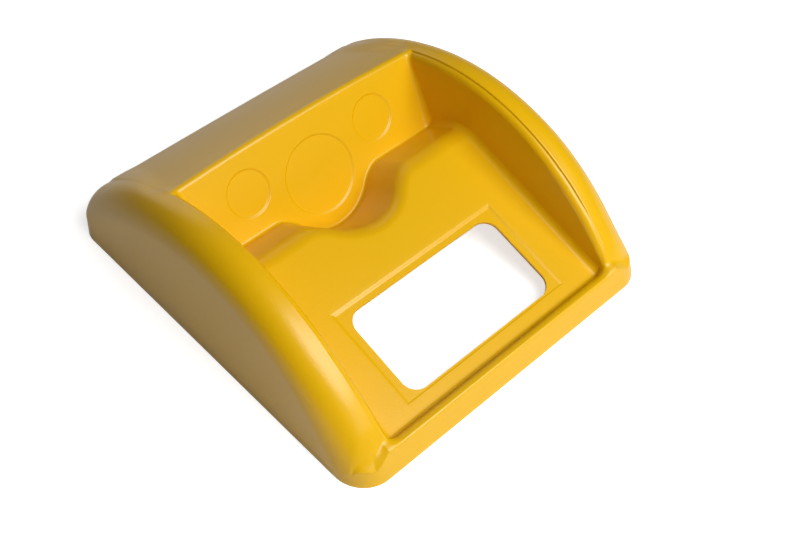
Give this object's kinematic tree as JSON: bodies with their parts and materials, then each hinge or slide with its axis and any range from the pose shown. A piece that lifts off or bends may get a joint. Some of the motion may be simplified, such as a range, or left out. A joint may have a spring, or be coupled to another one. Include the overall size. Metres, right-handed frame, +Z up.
{
  "type": "instrument panel cowl",
  "caption": "Moulded plastic cowl for a machine console, with rounded cheeks, a sloped deck with a rounded window, and shallow round gauge seats.",
  "frame": {"origin": "middle of the bottom trim plane, where the overall box's vertical centre line meets it", "axes": "+X to the operator's right, +Y from the operator's side to the back, +Z up from the trim plane"},
  "size_m": [0.478, 0.5429, 0.171],
  "materials": {
    "yellow_abs": "fine haircell grain, semi-gloss",
    "block_abs": "plain black, matt",
    "brass": "turned and knurled"
  },
  "bodies": {
    "root": {"cowl_shell": "yellow_abs", "mount_block_left_front": "block_abs", "mount_block_left_rear": "block_abs", "mount_block_right_front": "block_abs", "mount_block_right_rear": "block_abs", "threaded_insert_left_front": "brass", "threaded_insert_left_rear": "brass", "threaded_insert_right_front": "brass", "threaded_insert_right_rear": "brass"}
  },
  "joints": []
}
